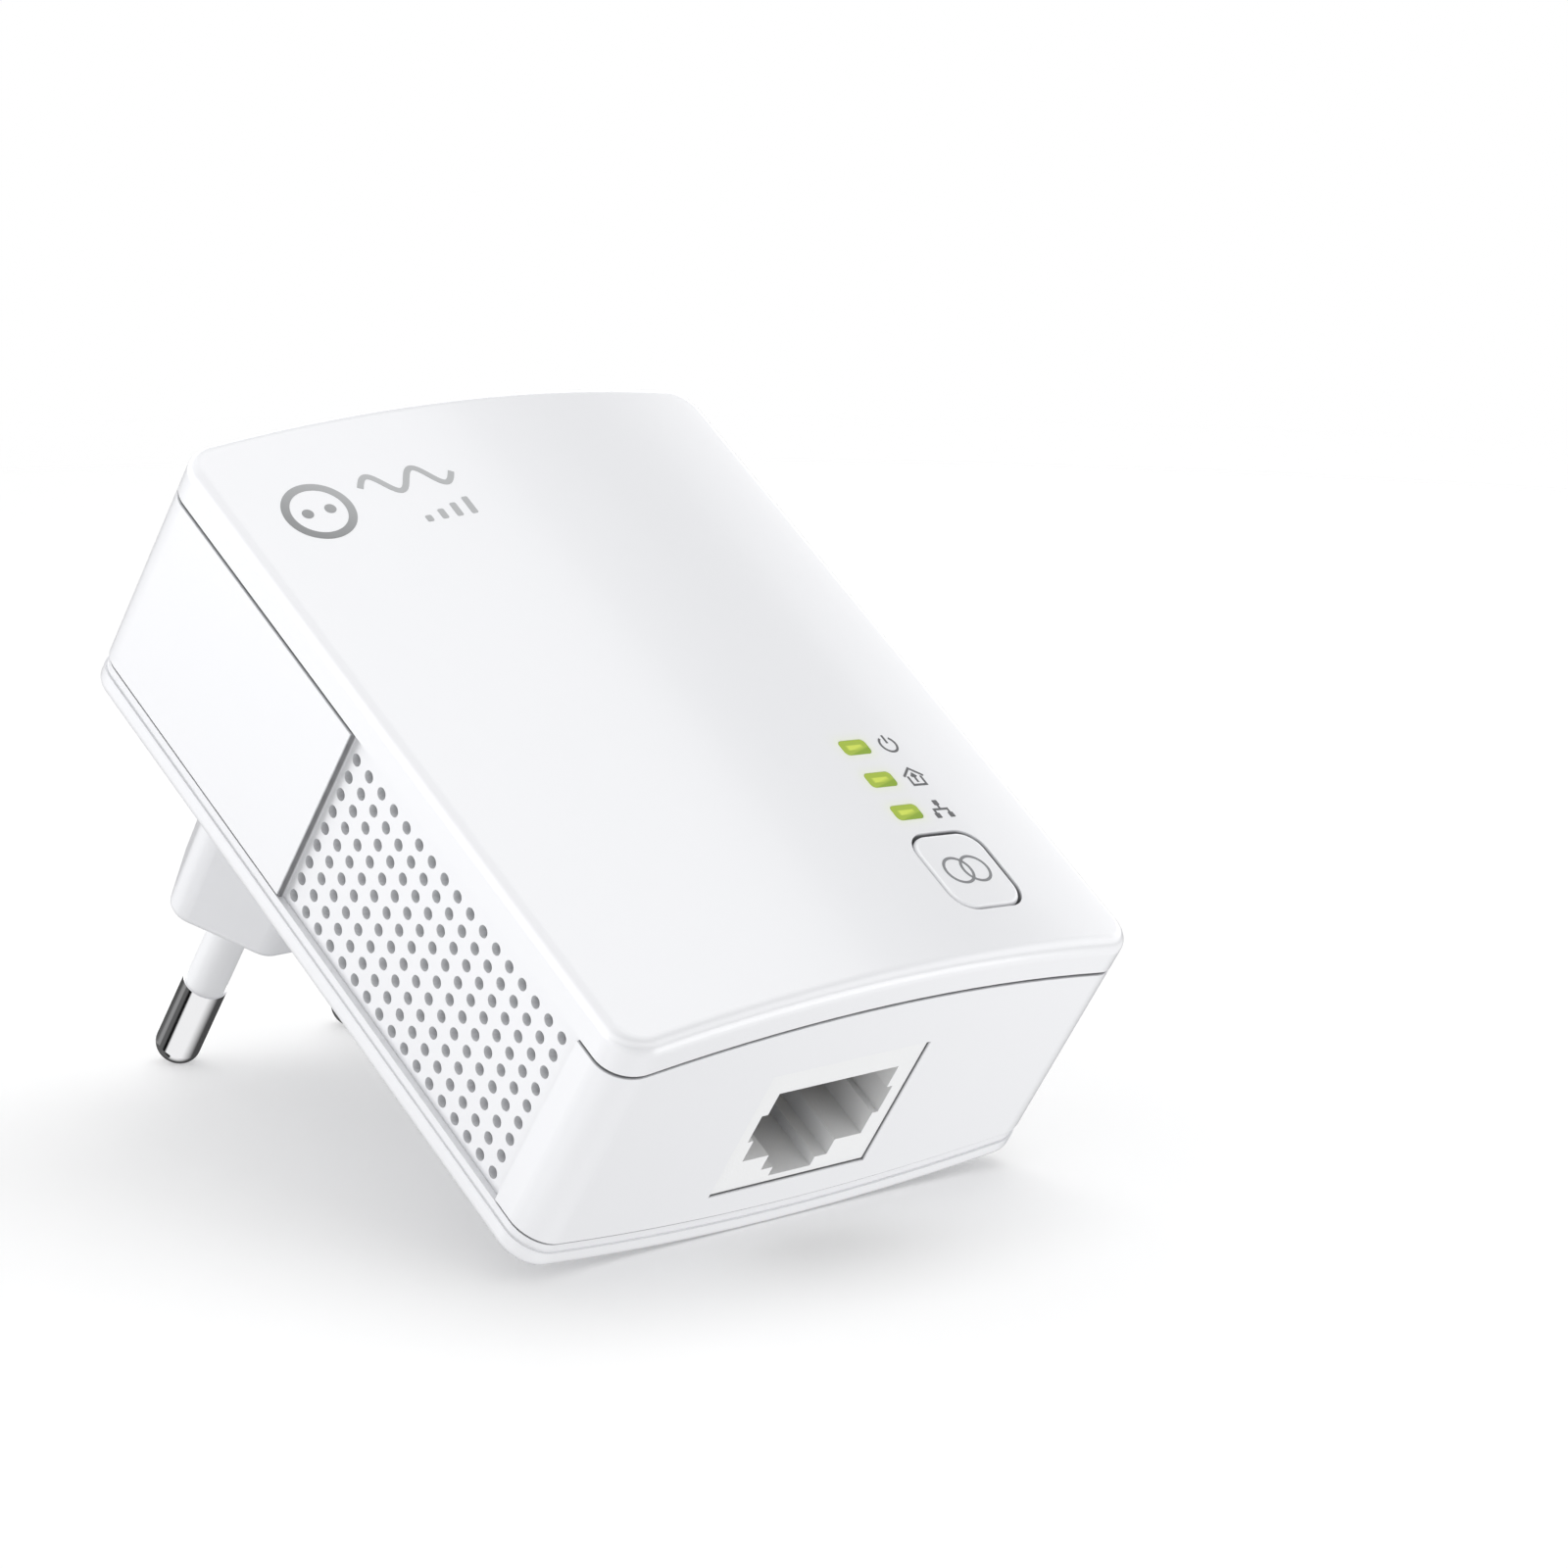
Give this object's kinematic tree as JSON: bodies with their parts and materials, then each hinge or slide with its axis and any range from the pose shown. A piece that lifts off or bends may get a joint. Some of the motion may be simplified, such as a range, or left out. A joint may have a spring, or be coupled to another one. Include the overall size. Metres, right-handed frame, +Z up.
{
  "type": "powerline network adapter",
  "caption": "Compact plug-in powerline adapter with a bowed shell, side vents, round-pin mains plug, network jack, status lights and a pairing button.",
  "frame": {"origin": "on the jack end that it stands on, under the middle of the overall box", "axes": "+X to the right seen from the front, +Y out of the back towards the plug pins, +Z up from the jack end"},
  "size_m": [0.053, 0.0656, 0.068],
  "materials": {
    "shell_white": "glossy moulded, faint blue white",
    "button_white": "glossy moulded with a printed pairing sign",
    "lens_green": "clear moulded window, lit from inside",
    "pin_metal": "bright nickel plate",
    "sleeve_white": "smooth moulded sleeve",
    "jack_grey": "fine matt mould surface",
    "contact_gold": "gold plate",
    "contact_brass": "pressed strip",
    "board_green": "solder mask",
    "screw_steel": "zinc plate",
    "part_black": "moulded package",
    "plunger_grey": "moulded",
    "foam_black": "moulded rubber",
    "led_body": "small lit package",
    "fuse_brown": "potted body",
    "varistor_blue": "dipped coating",
    "film_yellow": "box moulding",
    "ferrite": "ground ferrite",
    "copper_wire": "enamelled copper wire",
    "can_sleeve": "shrink sleeve",
    "tape_yellow": "polyester tape",
    "pad_grey": "soft silicone",
    "sink_aluminium": "extruded, clear anodised",
    "can_metal": "drawn can"
  },
  "bodies": {
    "adapter": {"front_cover": "shell_white", "main_housing": "shell_white", "back_cover": "shell_white", "power_lens": "lens_green", "home_lens": "lens_green", "network_lens": "lens_green", "plug_pin_left": "pin_metal", "plug_pin_right": "pin_metal", "pin_sleeve_left": "sleeve_white", "pin_sleeve_right": "sleeve_white", "jack_housing": "jack_grey", "jack_contacts": "contact_gold", "contact_strip_left": "contact_brass", "contact_strip_right": "contact_brass", "main_board": "board_green", "power_board": "board_green", "main_board_screws": "screw_steel", "power_board_screws": "screw_steel", "switch_body": "part_black", "light_shield": "foam_black", "power_led": "led_body", "home_led": "led_body", "network_led": "led_body", "fuse": "fuse_brown", "varistor": "varistor_blue", "safety_capacitor": "film_yellow", "choke_core": "ferrite", "choke_windings": "copper_wire", "bridge_rectifier": "part_black", "bulk_capacitor": "can_sleeve", "output_capacitor": "can_sleeve", "transformer_core": "ferrite", "transformer_winding": "tape_yellow", "coupling_transformer": "part_black", "network_transformer": "part_black", "main_chip": "part_black", "memory_chip": "part_black", "thermal_pad": "pad_grey", "heatsink": "sink_aluminium", "crystal": "can_metal", "board_header": "part_black"},
    "button": {"pair_button": "button_white"},
    "plunger": {"switch_plunger": "plunger_grey"}
  },
  "joints": [
    {"name": "button_press", "type": "slide", "parent": "adapter", "child": "button", "axis": [0, 1, 0], "range_m": [0, 0.0005], "stiffness_N_per_m": 1200},
    {"name": "plunger_press", "type": "slide", "parent": "adapter", "child": "plunger", "axis": [0, 1, 0], "range_m": [0, 0.0005]}
  ],
  "couplings": [
    {"joint": "plunger_press", "follows": "button_press", "ratio": 1}
  ]
}
